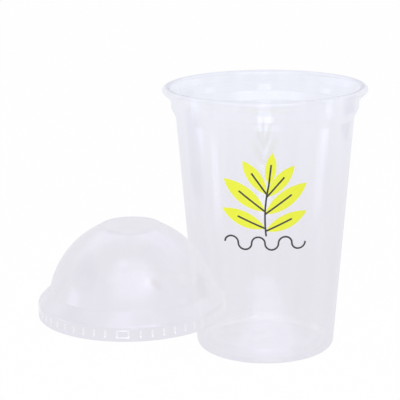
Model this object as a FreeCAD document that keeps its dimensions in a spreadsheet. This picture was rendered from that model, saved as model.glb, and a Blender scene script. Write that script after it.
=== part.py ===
import FreeCAD, Part

import math
import os

import Sketcher
from FreeCAD import Placement, Rotation, Vector

# A clear thermoformed cup with its dome lid taken off and laid beside it.
# Millimetres, +Z up, both pieces standing on the plane z = 0. The origin is the centre of the
# pair's box on that plane, -Y is the side with the print, and the lid lies to the left and behind.

# Driving sizes: name, value and meaning.
SIZES = (
    ("cup_height", 125.0, "table to the top of the rim"),
    ("cup_wall", 0.4, "sheet thickness of the cup"),
    ("rim_radius", 47.5, "outside of the rolled rim, the standard 95 mm"),
    ("curl_round", 1.3, "inside rounding of the rolled rim's two top corners"),
    ("curl_flat", 0.4, "flat on top of the rolled rim"),
    ("curl_drop", 2.15, "top of the rim to where its lip turns in"),
    ("curl_corner", 0.4, "inside rounding where the lip turns in"),
    ("curl_tail", 3.1, "how far the lip runs in under the rim"),
    ("rim_overhang", 4.1, "how far the rim stands out from the collar"),
    ("rim_depth", 6.6, "top of the rim to the top of the straight collar"),
    ("collar_height", 3.4, "straight collar under the rim"),
    ("shoulder_step", 2.1, "how far the stacking shoulder steps in"),
    ("shoulder_height", 4.0, "height of the stacking shoulder"),
    ("shoulder_round", 1.5, "inside rounding of the stacking shoulder"),
    ("foot_radius", 32.46, "wall carried straight down to the table"),
    ("heel_radius", 3.0, "outside rounding between wall and foot ring"),
    ("foot_flat", 0.6, "flat of the foot ring that stands on the table"),
    ("toe_round", 0.8, "rounding inside the foot ring's channel"),
    ("foot_draft", 0.6, "lean of the foot ring's inner side"),
    ("base_rise", 6.0, "hollow under the base"),
    ("base_round", 1.4, "rounding at the edge of the raised base"),
    ("lid_wall", 0.35, "sheet thickness of the lid"),
    ("skirt_clearance", 0.45, "gap between the rim and the lid's skirt"),
    ("skirt_corner", 7.0, "height at which the skirt meets the sloping shoulder"),
    ("skirt_round", 2.65, "inside rounding between skirt and shoulder"),
    ("dome_inset", 5.2, "how far the foot of the dome lies inside the rim"),
    ("neck_round", 0.6, "outside rounding where the shoulder meets the dome"),
    ("neck_height", 1.4, "height of the short neck under the dome"),
    ("neck_lean", 0.45, "how far the neck leans in"),
    ("dome_round", 46.1, "radius of the dome's outline"),
    ("lid_height", 46.25, "table to the top of the lid"),
    ("top_radius", 15.5, "outside of the round step on top of the dome"),
    ("top_step", 0.55, "height of that step"),
    ("top_draft", 0.35, "lean of that step's side"),
    ("top_crown", 0.2, "rise of the top towards its middle"),
    ("flute_count", 52.0, "upright flutes round the skirt"),
    ("flute_width", 1.0, "width of a flute's groove"),
    ("flute_depth", 0.7, "depth of a flute's groove, which snaps under the rim"),
    ("flute_low", 1.7, "lower end of the flutes"),
    ("flute_high", 5.9, "upper end of the flutes"),
    ("mark_bar", 0.7, "height of the bars that close the square mark"),
    ("mark_depth", 0.25, "depth of those bars"),
    ("mark_bearing", -90.4, "direction of the square mark on the lid, in degrees from +X"),
    ("lid_gap", 1.5, "gap between the lid's skirt and the cup beside it"),
    ("lid_bearing", 145.77, "direction from the cup to the lid, in degrees from +X"),
    ("ink", 0.15, "thickness of the print"),
    ("line_width", 0.8, "width of the printed lines"),
    ("print_height", 71.5, "height at which the printed stem stands upright"),
    ("stem_radius", 70.0, "radius of the printed stem's bend"),
    ("leaf_length", 23.5, "length of the longest printed leaf"),
    ("leaf_width", 7.6, "width of the longest printed leaf"),
    ("rib_length", 15.0, "length of the line along the longest leaf"),
    ("wave_radius", 3.0, "middle radius of each half ring in the printed wave"),
    ("wave_drop", 12.0, "upright point of the stem down to the printed wave"),
)

# The printed sprig. Each leaf: degrees along the stem, degrees between leaf and stem, share of the
# longest leaf's size.
STEM_START = -7.0
STEM_END = 12.5
LEAVES = (
    (-5.0, 70.0, 0.86),
    (-4.0, -62.0, 0.9),
    (1.5, 52.0, 0.98),
    (2.5, -54.0, 1.0),
    (8.0, 33.0, 0.8),
    (9.0, -44.0, 0.8),
    (12.5, -6.0, 0.64),
)
WAVE_HALVES = 6

# How far a cutting profile stands clear of the face that it cuts through.
CLEAR = 0.3
HALF_ROOT = math.sqrt(0.5)
# Sideways shift of a corner between an upright and a 45 degree face when both move by 1.
MITRE = math.sqrt(2.0) - 1.0


class Size:
    """A length: its value now, and the expression that the document keeps for it."""

    def __init__(self, value, text):
        self.value = value
        self.text = text

    def __add__(self, other):
        other = as_size(other)
        return Size(self.value + other.value, f"({self.text} + {other.text})")

    def __sub__(self, other):
        other = as_size(other)
        return Size(self.value - other.value, f"({self.text} - {other.text})")

    def __mul__(self, other):
        other = as_size(other)
        return Size(self.value * other.value, f"({self.text} * {other.text})")

    def __truediv__(self, other):
        other = as_size(other)
        return Size(self.value / other.value, f"({self.text} / {other.text})")


def as_size(number):
    """A plain number as a Size."""
    return number if isinstance(number, Size) else Size(float(number), f"{float(number):.6f}")


def cosine(angle):
    """Cosine of a Size that holds degrees."""
    return Size(math.cos(math.radians(angle.value)), f"cos({angle.text})")


def sine(angle):
    """Sine of a Size that holds degrees."""
    return Size(math.sin(math.radians(angle.value)), f"sin({angle.text})")


def new_sheet(doc):
    """The spreadsheet of driving sizes, and the sizes by name."""
    sheet = doc.addObject("Spreadsheet::Sheet", "Sizes")
    sizes = {}
    for row, (name, value, meaning) in enumerate(SIZES, start=1):
        sheet.set(f"A{row}", name)
        sheet.set(f"B{row}", str(value))
        sheet.set(f"C{row}", meaning)
        sheet.setAlias(f"B{row}", name)
        sizes[name] = Size(value, f"Sizes.{name}")
    doc.recompute()
    return sizes


def new_sketch(body, name):
    """An empty sketch on the body's own XZ plane, where y is the height above the table."""
    planes = {feature.Role: feature for feature in body.Origin.OriginFeatures}
    sketch = body.newObject("Sketcher::SketchObject", name)
    sketch.AttachmentSupport = (planes["XZ_Plane"], [""])
    sketch.MapMode = "FlatFace"
    return sketch


def bind(sketch, kind, arguments, size, label):
    """Adds a dimension whose value follows a size."""
    index = sketch.addConstraint(Sketcher.Constraint(kind, *arguments, size.value))
    sketch.renameConstraint(index, label)
    sketch.setExpression(f"Constraints.{label}", size.text)


def pin_point(sketch, element, end, point, label):
    """Ties an element's end to its place in the sketch."""
    for kind, axis, size, letter in (("DistanceX", -2, point[0], "x"), ("DistanceY", -1, point[1], "y")):
        if size.value == 0.0:
            sketch.addConstraint(Sketcher.Constraint("PointOnObject", element, end, axis))
        else:
            bind(sketch, kind, (-1, 1, element, end), size, f"{label}_{letter}")


def turn_at(before, corner, after, radius):
    """Where a rounding starts and ends at a corner, its centre, and whether it turns left."""
    to_before = (before - corner).normalize()
    to_after = (after - corner).normalize()
    half = 0.5 * to_before.getAngle(to_after)
    start = corner + to_before * (radius / math.tan(half))
    end = corner + to_after * (radius / math.tan(half))
    centre = corner + (to_before + to_after).normalize() * (radius / math.sin(half))
    left = (corner - before).cross(after - corner).z > 0
    return start, end, centre, left


def arc_between(start, end, centre, left):
    """An arc from start to end, and which of its ends comes first on the way round."""
    first, last = (start, end) if left else (end, start)
    circle = Part.Circle(centre, Vector(0, 0, 1), start.distanceToPoint(centre))
    arc = Part.ArcOfCircle(circle, circle.parameter(first), circle.parameter(last))
    return arc, (1, 2) if left else (2, 1)


def bend_centre(start, end, radius, left):
    """Centre of an arc from start to end that turns left or right on its way."""
    half = 0.5 * start.distanceToPoint(end)
    along = (end - start).normalize()
    aside = Vector(-along.y, along.x, 0) * math.sqrt(radius ** 2 - half ** 2)
    return (start + end) * 0.5 + (aside if left else -aside)


def outline(sketch, corners, bends=None):
    """Closed outline through corners (x, y, rounding), where a rounding of None is a sharp corner.

    bends gives, by the number of the corner that it starts from, the radius of an edge that is an
    arc between two sharp corners, and whether it turns left on its way.
    """
    bends = bends or {}
    count = len(corners)
    spots = [Vector(x.value, y.value, 0) for x, y, rounding in corners]
    starts = list(spots)
    ends = list(spots)
    turns = {}
    for number, (x, y, rounding) in enumerate(corners):
        if rounding is not None:
            before = spots[number - 1]
            after = spots[(number + 1) % count]
            start, end, centre, left = turn_at(before, spots[number], after, rounding.value)
            starts[number] = start
            ends[number] = end
            turns[number] = arc_between(start, end, centre, left)

    edges = []
    for number in range(count):
        start = ends[number]
        end = starts[(number + 1) % count]
        if number in bends:
            radius, left = bends[number]
            centre = bend_centre(start, end, radius.value, left)
            arc, order = arc_between(start, end, centre, left)
            edges.append((sketch.addGeometry(arc), *order))
        else:
            edges.append((sketch.addGeometry(Part.LineSegment(start, end)), 1, 2))

    for number, (x, y, rounding) in enumerate(corners):
        coming, coming_end = edges[number - 1][0], edges[number - 1][2]
        going, going_end = edges[number][0], edges[number][1]
        label = f"corner_{number}"
        if rounding is None:
            sketch.addConstraint(Sketcher.Constraint("Coincident", coming, coming_end, going, going_end))
            pin_point(sketch, going, going_end, (x, y), label)
        else:
            arc, order = turns[number]
            bend = sketch.addGeometry(arc)
            corner = sketch.addGeometry(Part.Point(spots[number]), True)
            sketch.addConstraint(Sketcher.Constraint("Tangent", coming, coming_end, bend, order[0]))
            sketch.addConstraint(Sketcher.Constraint("Tangent", going, going_end, bend, order[1]))
            sketch.addConstraint(Sketcher.Constraint("PointOnObject", corner, 1, coming))
            sketch.addConstraint(Sketcher.Constraint("PointOnObject", corner, 1, going))
            pin_point(sketch, corner, 1, (x, y), label)
            bind(sketch, "Radius", (bend,), rounding, f"{label}_round")
        if number in bends:
            bind(sketch, "Radius", (going,), bends[number][0], f"{label}_bend")


def revolve(body, kind, sketch, name):
    """Turns a section about the body's axis."""
    feature = body.newObject(kind, name)
    feature.Profile = sketch
    feature.ReferenceAxis = (sketch, ["V_Axis"])
    feature.Angle = 360.0
    return feature


def wall_top(s):
    """Radius and height of the top of the cup's straight wall, outside."""
    radius = s["rim_radius"] - s["rim_overhang"] - s["shoulder_step"]
    height = s["cup_height"] - s["rim_depth"] - s["collar_height"] - s["shoulder_height"]
    return radius, height


def cup_section(s):
    """Corners of the cup's sheet, from the middle of the base out, up, round the rim and back."""
    wall = s["cup_wall"]
    rise = s["base_rise"]
    toe = s["foot_radius"] - s["heel_radius"] - s["foot_flat"] - s["toe_round"] - wall
    base = toe - s["foot_draft"]
    wall_radius, wall_height = wall_top(s)
    collar = s["rim_radius"] - s["rim_overhang"]
    collar_top = s["cup_height"] - s["rim_depth"]
    collar_low = collar_top - s["collar_height"]
    rim = s["rim_radius"]
    top = s["cup_height"]
    lip = top - s["curl_drop"]
    lip_end = lip - s["curl_tail"]
    curl_out = s["curl_round"] + wall
    curl_in = rim - curl_out * 2.0 - s["curl_flat"]
    zero = as_size(0.0)
    underside = [
        (zero, rise, None),
        (base, rise, s["base_round"]),
        (toe, zero, s["toe_round"] + wall),
        (s["foot_radius"], zero, s["heel_radius"]),
        (wall_radius, wall_height, s["shoulder_round"] + wall),
        (collar, collar_low, s["shoulder_round"] + wall),
        (collar, collar_top, None),
    ]
    under_rim = [
        (curl_in + wall, top - wall, s["curl_round"]),
        (rim - wall, top - wall, s["curl_round"]),
        (rim - wall, lip + wall * MITRE, s["curl_corner"]),
        (rim - s["curl_tail"] - wall * HALF_ROOT, lip_end + wall * HALF_ROOT, None),
    ]
    over_rim = [
        (rim - s["curl_tail"], lip_end, None),
        (rim, lip, s["curl_corner"] + wall),
        (rim, top, curl_out),
        (curl_in, top, curl_out),
    ]
    inside = [
        (collar - wall, collar_top, None),
        (collar - wall, collar_low, s["shoulder_round"]),
        (wall_radius - wall, wall_height, s["shoulder_round"]),
        (s["foot_radius"] - wall, wall, s["heel_radius"] - wall),
        (toe + wall, wall, s["toe_round"]),
        (base + wall, rise + wall, s["base_round"] + wall),
        (zero, rise + wall, None),
    ]
    return underside + under_rim + over_rim + inside


def skirt_radius(s):
    """Outside radius of the lid's skirt, which goes over the cup's rim."""
    return s["rim_radius"] + s["skirt_clearance"] + s["lid_wall"]


def lid_section(s):
    """Corners of the lid's sheet, from the skirt's edge up to the middle and back, and its arcs."""
    wall = s["lid_wall"]
    skirt = skirt_radius(s)
    neck = s["rim_radius"] - s["dome_inset"]
    neck_low = s["skirt_corner"] + skirt - neck
    dome = neck - s["neck_lean"]
    dome_low = neck_low + s["neck_height"]
    top = s["top_radius"]
    flat = s["lid_height"] - s["top_crown"]
    step = flat - s["top_step"]
    zero = as_size(0.0)
    outside = [
        (skirt, zero, None),
        (skirt, s["skirt_corner"], s["skirt_round"] + wall),
        (neck, neck_low, s["neck_round"]),
        (dome, dome_low, None),
        (top, step, None),
        (top - s["top_draft"], flat, None),
        (zero, s["lid_height"], None),
    ]
    inside = [
        (zero, s["lid_height"] - wall, None),
        (top - s["top_draft"] - wall * 0.5, flat - wall, None),
        (top - wall * 0.5, step - wall, None),
        (dome - wall, dome_low, None),
        (neck - wall, neck_low - wall * MITRE, s["neck_round"] + wall),
        (skirt - wall, s["skirt_corner"] - wall * MITRE, s["skirt_round"]),
        (skirt - wall, zero, None),
    ]
    return outside, inside


def groove_profile(s, low, high, depth):
    """A groove with 45 degree ends, cut into the skirt's outside."""
    skirt = skirt_radius(s)
    return [
        (skirt + CLEAR, low - CLEAR, None),
        (skirt + CLEAR, high + CLEAR, None),
        (skirt - depth, high - depth, None),
        (skirt - depth, low + depth, None),
    ]


def bump_profile(s, low, high, depth):
    """The same groove as it shows inside, a sheet thickness further in."""
    skirt = skirt_radius(s)
    wall = s["lid_wall"]
    root = wall * 0.5
    reach = wall * (MITRE + 0.5)
    return [
        (skirt - root, low - reach, None),
        (skirt - root, high + reach, None),
        (skirt - depth - wall, high - depth + wall * MITRE, None),
        (skirt - depth - wall, low + depth - wall * MITRE, None),
    ]


def flute_feature(body, kind, name, profile, width):
    """One flute's groove or inner bump, on the +X side."""
    sketch = new_sketch(body, f"{name}_profile")
    outline(sketch, profile)
    feature = body.newObject(kind, name)
    feature.Profile = sketch
    feature.SideType = "Symmetric"
    feature.setExpression("Length", width.text)
    return feature


def round_the_skirt(body, feature, s):
    """Repeats a flute all round the skirt."""
    pattern = body.newObject("PartDesign::PolarPattern", f"{feature.Name}_row")
    pattern.Originals = [feature]
    pattern.Axis = (feature.Profile[0], ["V_Axis"])
    pattern.Angle = 360.0
    pattern.setExpression("Occurrences", s["flute_count"].text)
    body.Tip = pattern
    return pattern


def mark_bar(body, kind, name, profile, pitch):
    """A bar of the square mark, from one flute round to the next."""
    sketch = new_sketch(body, f"{name}_profile")
    outline(sketch, profile)
    feature = revolve(body, kind, sketch, name)
    feature.setExpression("Angle", pitch.text)
    return feature


def build_cup(doc, s):
    """The cup, turned from its section."""
    body = doc.addObject("PartDesign::Body", "cup")
    body.Label = "cup"
    section = new_sketch(body, "cup_section")
    outline(section, cup_section(s))
    body.Tip = revolve(body, "PartDesign::Revolution", section, "cup_turned")
    return body


def build_lid(doc, s):
    """The lid, turned from its section, with the flutes and the square mark on its skirt."""
    body = doc.addObject("PartDesign::Body", "dome_lid")
    body.Label = "dome_lid"
    outside, inside = lid_section(s)
    section = new_sketch(body, "lid_section")
    bends = {3: (s["dome_round"], True), 9: (s["dome_round"] - s["lid_wall"], False)}
    outline(section, outside + inside, bends)
    revolve(body, "PartDesign::Revolution", section, "lid_turned")

    low, high, depth = s["flute_low"], s["flute_high"], s["flute_depth"]
    bar, shallow = s["mark_bar"], s["mark_depth"]
    pitch = as_size(360.0) / s["flute_count"]
    bars = (("low_bar", low, low + bar), ("high_bar", high - bar, high))
    for name, bar_low, bar_high in bars:
        profile = bump_profile(s, bar_low, bar_high, shallow)
        mark_bar(body, "PartDesign::Revolution", f"{name}_bump", profile, pitch)
    profile = bump_profile(s, low, high, depth)
    bump_width = s["flute_width"] + s["lid_wall"] * 2.0
    bump = flute_feature(body, "PartDesign::Pad", "flute_bump", profile, bump_width)
    round_the_skirt(body, bump, s)
    for name, bar_low, bar_high in bars:
        profile = groove_profile(s, bar_low, bar_high, shallow)
        mark_bar(body, "PartDesign::Groove", f"{name}_groove", profile, pitch)
    profile = groove_profile(s, low, high, depth)
    groove = flute_feature(body, "PartDesign::Pocket", "flute_groove", profile, s["flute_width"])
    round_the_skirt(body, groove, s)
    return body


def lid_distance(s):
    """Distance between the cup's and the lid's axes, with the skirt beside the cup's tapered wall."""
    wall_radius, wall_height = wall_top(s)
    taper = (wall_radius - s["foot_radius"]) / wall_height
    cup_beside = s["foot_radius"] + taper * s["skirt_corner"]
    return skirt_radius(s) + cup_beside + s["lid_gap"]


def cup_place(s):
    """Where the cup's axis stands, with the pair's box centred on the origin."""
    apart = lid_distance(s)
    excess = skirt_radius(s) - s["rim_radius"]
    x = (excess - apart * cosine(s["lid_bearing"])) / 2.0
    y = (excess + apart * sine(s["lid_bearing"])) / -2.0
    return x, y


def lid_place(s):
    """Where the lid's axis stands."""
    x, y = cup_place(s)
    apart = lid_distance(s)
    return x + apart * cosine(s["lid_bearing"]), y + apart * sine(s["lid_bearing"])


def stand_at(piece, place):
    """Stands a piece at its place on the table."""
    piece.setExpression("Placement.Base.x", place[0].text)
    piece.setExpression("Placement.Base.y", place[1].text)


def straight_wall(doc, s, name, proud):
    """The cup's straight outer wall as a cone that stands proud by a thickness."""
    wall_radius, wall_height = wall_top(s)
    cone = doc.addObject("Part::Cone", name)
    cone.setExpression("Radius1", (s["foot_radius"] + proud).text)
    cone.setExpression("Radius2", (wall_radius + proud).text)
    cone.setExpression("Height", wall_height.text)
    return cone


def cut(doc, name, base, tool):
    """One shape less another."""
    result = doc.addObject("Part::Cut", name)
    result.Base = base
    result.Tool = tool
    return result


def joined(doc, name, shapes):
    """Several shapes as one."""
    result = doc.addObject("Part::MultiFuse", name)
    result.Shapes = shapes
    return result


def face_on(piece, x, z, y=None):
    """Places a printing block by x and z, seen from the front, and by y if it has its own."""
    piece.setExpression("Placement.Base.x", x.text)
    piece.setExpression("Placement.Base.z", z.text)
    if y is not None:
        piece.setExpression("Placement.Base.y", y.text)


def disc(doc, s, name, radius, x, z, turned=0.0, span=as_size(360.0)):
    """A round block that reaches from the cup's axis out to the front, or a sector of one."""
    block = doc.addObject("Part::Cylinder", name)
    block.setExpression("Radius", radius.text)
    block.setExpression("Height", s["rim_radius"].text)
    block.setExpression("Angle", span.text)
    to_front = Rotation(Vector(1, 0, 0), 90.0)
    block.Placement = Placement(Vector(), to_front * Rotation(Vector(0, 0, 1), turned))
    face_on(block, x, z)
    return block


def ring(doc, s, name, radius, x, z, turned, span):
    """A printing block for a line that follows a part of a circle."""
    half = s["line_width"] / 2.0
    outer = disc(doc, s, f"{name}_outer", radius + half, x, z, turned, span)
    inner = disc(doc, s, f"{name}_inner", radius - half, x, z)
    return cut(doc, name, outer, inner)


def stem_point(s, degrees):
    """A point on the printed stem, which bends to the right as it climbs."""
    angle = math.radians(degrees)
    x = s["stem_radius"] * (1.0 - math.cos(angle))
    z = s["print_height"] + s["stem_radius"] * math.sin(angle)
    return x, z


def leaf(doc, s, number, degrees, spread, share):
    """A leaf as the space shared by two discs, and the line along its middle."""
    x, z = stem_point(s, degrees)
    lean = math.radians(degrees + spread)
    length = s["leaf_length"] * share
    half_width = s["leaf_width"] * (share / 2.0)
    radius = (length * length / 4.0 + half_width * half_width) / (half_width * 2.0)
    discs = []
    for side in (-1.0, 1.0):
        aside = (radius - half_width) * side
        centre_x = x + length * (math.sin(lean) / 2.0) + aside * math.cos(lean)
        centre_z = z + length * (math.cos(lean) / 2.0) - aside * math.sin(lean)
        discs.append(disc(doc, s, f"leaf_{number}_side_{len(discs)}", radius, centre_x, centre_z))
    blade = doc.addObject("Part::MultiCommon", f"leaf_{number}")
    blade.Shapes = discs

    rib = doc.addObject("Part::Box", f"leaf_{number}_rib")
    rib.setExpression("Length", (s["rib_length"] * share).text)
    rib.setExpression("Width", s["rim_radius"].text)
    rib.setExpression("Height", s["line_width"].text)
    rib.Placement = Placement(Vector(), Rotation(Vector(0, 1, 0), degrees + spread - 90.0))
    half = s["line_width"] / 2.0
    rib_x = x + half * math.cos(lean)
    rib_z = z - half * math.sin(lean)
    face_on(rib, rib_x, rib_z, s["rim_radius"] * -1.0)
    return blade, rib


def build_print(doc, s):
    """The print's two colours, each a thin skin on the cup's straight wall."""
    skin_face = straight_wall(doc, s, "skin_face", s["ink"])
    skin_back = straight_wall(doc, s, "skin_back", as_size(0.0))
    skin = cut(doc, "skin", skin_face, skin_back)
    blades = []
    lines = []
    for number, (degrees, spread, share) in enumerate(LEAVES, start=1):
        blade, rib = leaf(doc, s, number, degrees, spread, share)
        blades.append(blade)
        lines.append(rib)
    bend = s["stem_radius"]
    stem_span = as_size(STEM_END - STEM_START)
    lines.append(ring(doc, s, "stem", bend, bend, s["print_height"], 180.0 - STEM_END, stem_span))
    wave = s["wave_radius"]
    wave_z = s["print_height"] - s["wave_drop"]
    half_turn = as_size(180.0)
    for number in range(WAVE_HALVES):
        wave_x = wave * (2.0 * number + 1.0 - WAVE_HALVES)
        turned = 180.0 * (number % 2)
        lines.append(ring(doc, s, f"wave_{number + 1}", wave, wave_x, wave_z, turned, half_turn))
    line_blocks = joined(doc, "line_blocks", lines)
    leaf_blocks = cut(doc, "leaf_blocks", joined(doc, "blades", blades), line_blocks)
    colours = []
    for name, blocks in (("print_leaves", leaf_blocks), ("print_lines", line_blocks)):
        colour = doc.addObject("Part::MultiCommon", name)
        colour.Label = name
        colour.Shapes = [skin, blocks]
        colours.append(colour)
    return colours


def check(doc, pieces):
    """Stops if anything in the document failed or a piece is not sound."""
    for obj in doc.Objects:
        if "Invalid" in obj.State or "Error" in obj.State:
            raise RuntimeError(f"{obj.Name} failed: {obj.State}")
    for piece in pieces:
        shape = piece.Shape
        if shape.isNull() or not shape.isValid() or shape.Volume <= 0.0:
            raise RuntimeError(f"{piece.Label} has no sound shape")
        box = shape.BoundBox
        print(f"{piece.Label}: {len(shape.Solids)} solids, {shape.Volume:.1f} mm3,"
              f" x {box.XMin:.2f} to {box.XMax:.2f}, y {box.YMin:.2f} to {box.YMax:.2f},"
              f" z {box.ZMin:.2f} to {box.ZMax:.2f}")


def main():
    doc = FreeCAD.newDocument("cup_with_lid")
    sizes = new_sheet(doc)
    cup = build_cup(doc, sizes)
    lid = build_lid(doc, sizes)
    colours = build_print(doc, sizes)
    for piece in [cup] + colours:
        stand_at(piece, cup_place(sizes))
    stand_at(lid, lid_place(sizes))
    half_pitch = as_size(180.0) / sizes["flute_count"]
    lid.setExpression("Placement.Rotation.Angle", (sizes["mark_bearing"] - half_pitch).text)
    doc.recompute()

    pieces = [cup, lid] + colours
    check(doc, pieces)
    os.makedirs("parts", exist_ok=True)
    for piece in pieces:
        piece.Shape.exportStep(f"parts/{piece.Label}.step")


main()
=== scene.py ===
"""A clear drinks cup with its dome lid taken off and stood beside it, on a white table.

The pieces take their places and outer sizes from the frame. Lengths are in metres.
"""

import math

import bmesh
import bpy
from bpy.props import FloatProperty, FloatVectorProperty, IntProperty, PointerProperty
from mathutils import Matrix, Vector


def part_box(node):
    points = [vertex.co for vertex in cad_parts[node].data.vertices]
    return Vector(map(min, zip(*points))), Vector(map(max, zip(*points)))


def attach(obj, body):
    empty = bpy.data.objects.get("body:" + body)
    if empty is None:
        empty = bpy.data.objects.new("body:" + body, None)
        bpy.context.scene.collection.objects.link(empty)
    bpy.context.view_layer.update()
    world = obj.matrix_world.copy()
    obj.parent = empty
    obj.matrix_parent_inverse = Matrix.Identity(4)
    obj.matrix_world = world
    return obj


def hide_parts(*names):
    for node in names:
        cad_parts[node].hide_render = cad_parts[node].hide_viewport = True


bl_info = {
    "name": "Clear cup with dome lid",
    "version": (1, 0, 0),
    "blender": (4, 5, 0),
    "location": "3D View > Sidebar > Clear Cup",
    "description": "Makes a clear drinks cup, its dome lid, the print on it and a small white studio",
    "category": "Add Mesh",
}

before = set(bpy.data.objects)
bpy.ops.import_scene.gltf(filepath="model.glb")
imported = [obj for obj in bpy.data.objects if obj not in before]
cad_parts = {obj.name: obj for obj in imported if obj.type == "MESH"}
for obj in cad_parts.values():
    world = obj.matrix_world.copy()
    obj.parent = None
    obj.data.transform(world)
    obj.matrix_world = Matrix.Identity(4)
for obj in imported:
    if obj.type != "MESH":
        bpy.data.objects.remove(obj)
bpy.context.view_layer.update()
CUP_LOW, CUP_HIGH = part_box("cup")
LID_LOW, LID_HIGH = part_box("dome_lid")

MM = 0.001
# Sideways shift of a corner between an upright and a 45 degree face when both move by 1.
MITRE = math.sqrt(2.0) - 1.0
HALF_ROOT = math.sqrt(0.5)
UP = Vector((0.0, 0.0, 1.0))
WHITE = (1.0, 1.0, 1.0, 1.0)

# How finely the meshes are divided. A turned piece has its columns in even groups, the lid one group for
# each flute, with most of the columns across the flute.
CUP_GROUPS = 72
CUP_STEPS = 4
LID_STEPS = 12
LID_STEPS_ACROSS = 9
CUP_TURN = math.radians(9.0)
LID_TURN = math.radians(11.0)
DOME_TURN = math.radians(3.0)
GUARD = 0.3 * MM
CUP_LONG_EDGE = 1.5 * MM
LID_LONG_EDGE = 2.5 * MM
SKIRT_ROW = 0.33 * MM
ROW_GAP = 0.05 * MM
LEAF_ROWS, LEAF_COLUMNS = 36, 12
LINE_ROWS, LINE_COLUMNS = 28, 4

# Points closer than this are one point, and edges that bend more than SHARP are creases.
CLOSE = 0.001 * MM
SHARP = math.radians(35.0)

# A fold of this radius or less counts as a full fold and takes the full painted shade at folds. It is
# measured this far to each side.
TIGHT_FOLD = 0.8 * MM
FOLD_REACH = 0.3 * MM

# A flute is wider on the inside of the sheet, by this share of the wall on each side, and the columns
# across it reach past its sloping side by this factor.
INSIDE_SPREAD = 0.7
SIDE_REACH = 1.1

# The pattern of the drawn sheet: noise scales, how far the lines are drawn out, how deep they are, how
# far the clouds move the tint, up to which share of the cup's height the tint changes, and the noise
# values between which a pattern changes.
CUP_LINES, LID_LINES = 420.0, 380.0
CLOUDS = 38.0
DRAWN_OUT = 14.0
LINE_DEPTH = 0.05 * MM
TINT_DRIFT = 0.8
CUP_TINT_HEIGHT = 0.7
BAND_RANGE = (0.35, 0.65)
NOISE_RANGE = (0.3, 0.7)
# How closely mirroring, dimming and the painted shade on the rim's crest keep to where a face turns edge
# on.
MIRROR_POWER, EDGE_POWER, LIP_SHADE_POWER = 5.0, 3.0, 6.0

# The film of ink: its grain, how deep and strong that is, how much paler thin places are, and roughness.
INK_GRAIN = 900.0
INK_DEPTH = 0.01 * MM
INK_BUMP = 0.25
INK_PALER = 0.06
GREEN_ROUGHNESS, DARK_ROUGHNESS = 0.38, 0.42
# The lines start under the leaves' back and end over their front, the ribs a little lower.
LINE_UNDER, LINE_OVER, RIB_LOWER = 0.6, 1.6, 0.1

# The studio, in metres.
TABLE_HALF = 4.0
TABLE_DROP = -0.1 * MM
TABLE_WHITE = (0.97, 0.97, 0.97, 1.0)
LAMP_DISTANCE = 0.9
SENSOR_WIDTH = 36.0
CLIP_START, CLIP_END = 0.01, 20.0
# Blender's own 8 is too few where the lid's end stands behind the cup: the faces past it come out dark.
CLEAR_FACES = 48

# The printed sprig. Each leaf: degrees along the stem, degrees between leaf and stem, share of the
# longest leaf's size.
STEM_START = -7.0
STEM_END = 12.5
LEAVES = (
    (-5.0, 70.0, 0.86),
    (-4.0, -62.0, 0.9),
    (1.5, 52.0, 0.98),
    (2.5, -54.0, 1.0),
    (8.0, 33.0, 0.8),
    (9.0, -44.0, 0.8),
    (12.5, -6.0, 0.64),
)
WAVE_HALVES = 6


def length(name, millimetres, description):
    """A size property, given in millimetres and kept in metres."""
    size = millimetres * MM
    return FloatProperty(name=name, description=description, default=size, unit="LENGTH", precision=5)


def angle(name, degrees, description):
    """An angle property, given in degrees and kept in radians."""
    return FloatProperty(name=name, description=description, default=math.radians(degrees), subtype="ANGLE")


def colour(name, red, green, blue, description):
    """A colour property."""
    return FloatVectorProperty(
        name=name, description=description, default=(red, green, blue), subtype="COLOR", min=0.0, max=1.0
    )


def share(name, value, description):
    """A plain number property."""
    return FloatProperty(name=name, description=description, default=value, precision=4)


class CupSizes(bpy.types.PropertyGroup):
    """Sizes of the cup's sheet."""

    height: length("Height", CUP_HIGH.z / MM, "Table to the top of the rim")
    rim_radius: length("Rim radius", (CUP_HIGH.x - CUP_LOW.x) / 2 / MM, "Outside of the rolled rim")
    wall: length("Wall", 0.4, "Thickness of the sheet")
    curl_round: length("Curl rounding", 1.3, "Inside rounding of the rim's two top corners")
    curl_flat: length("Curl flat", 0.4, "Flat on top of the rim")
    curl_drop: length("Curl drop", 2.15, "Top of the rim to where its lip turns in")
    curl_corner: length("Lip rounding", 0.4, "Inside rounding where the lip turns in")
    curl_tail: length("Lip", 3.1, "How far the lip runs in under the rim")
    rim_overhang: length("Rim overhang", 4.1, "How far the rim stands out from the collar")
    rim_depth: length("Rim depth", 6.6, "Top of the rim to the top of the straight collar")
    collar_height: length("Collar height", 3.4, "Straight collar under the rim")
    shoulder_step: length("Shoulder step", 2.1, "How far the stacking shoulder steps in")
    shoulder_height: length("Shoulder height", 4.0, "Height of the stacking shoulder")
    shoulder_round: length("Shoulder rounding", 1.5, "Inside rounding of the stacking shoulder")
    foot_radius: length("Foot radius", 32.46, "The wall carried straight down to the table")
    heel_radius: length("Heel rounding", 3.0, "Outside rounding between wall and foot ring")
    foot_flat: length("Foot flat", 0.6, "Flat of the foot ring")
    toe_round: length("Toe rounding", 0.8, "Rounding inside the foot ring's channel")
    foot_draft: length("Foot draft", 0.6, "Lean of the foot ring's inner side")
    base_rise: length("Base rise", 6.0, "Hollow under the base")
    base_round: length("Base rounding", 1.4, "Rounding at the edge of the raised base")


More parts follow.
